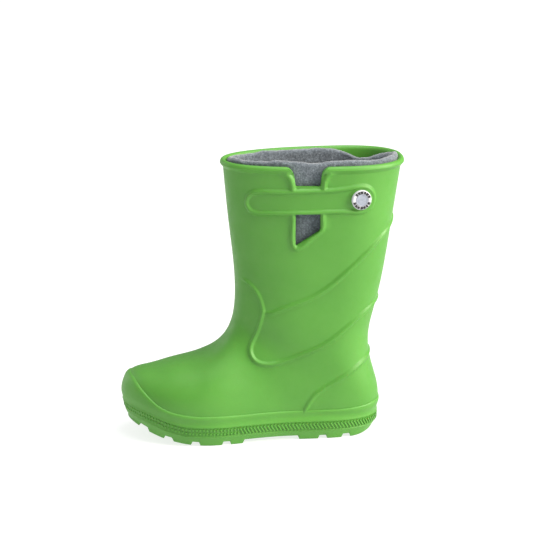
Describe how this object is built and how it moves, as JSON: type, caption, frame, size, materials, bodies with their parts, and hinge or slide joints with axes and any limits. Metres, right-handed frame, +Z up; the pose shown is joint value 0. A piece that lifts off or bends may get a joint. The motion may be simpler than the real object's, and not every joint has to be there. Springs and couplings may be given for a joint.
{
  "type": "rubber rain boot",
  "caption": "Child's moulded rain boot for the left foot, with a strap-shaped band over a notch and window, a rivet and a removable fleece liner.",
  "frame": {"origin": "on the ground under the middle of the boot's box", "axes": "+Z up the leg, -X towards the toe, -Y the outer side of the left foot"},
  "size_m": [0.2311, 0.0859, 0.2365],
  "materials": {
    "eva_shell": "satin moulded foam with a fine grain",
    "eva_sole": "satin moulded foam, knurled round its edge",
    "fleece": "brushed fleece",
    "felt": "pressed felt",
    "rivet_rim": "pale gloss with dark dashes",
    "rivet_face": "pale satin disc",
    "rivet_back": "matte"
  },
  "bodies": {
    "boot": {"upper_shell": "eva_shell", "outsole": "eva_sole"},
    "rivet": {"rivet_cap": "rivet_rim", "rivet_inlay": "rivet_face", "rivet_washer": "rivet_back"},
    "liner_top": {"liner_leg": "fleece", "liner_cuff": "fleece"},
    "liner_end": {"liner_foot": "fleece", "liner_sole": "felt"}
  },
  "joints": [
    {"name": "rivet_turn", "type": "hinge", "parent": "boot", "child": "rivet", "pos_m": [0.076, -0.03593, 0.20345], "axis": [0.1653, -0.9857, -0.0342], "continuous": true},
    {"name": "liner_pull", "type": "slide", "parent": "boot", "child": "liner_top", "axis": [0, 0, 1], "range_m": [0, 0.3]},
    {"name": "liner_bend", "type": "hinge", "parent": "liner_top", "child": "liner_end", "pos_m": [0.036, 0, 0.105], "axis": [0, -1, 0], "range_deg": [0, 52], "deforming": ["liner_foot", "liner_sole"]}
  ],
  "couplings": [
    {"joint": "liner_bend", "follows": "liner_pull", "rad_per_m": 2.909}
  ]
}
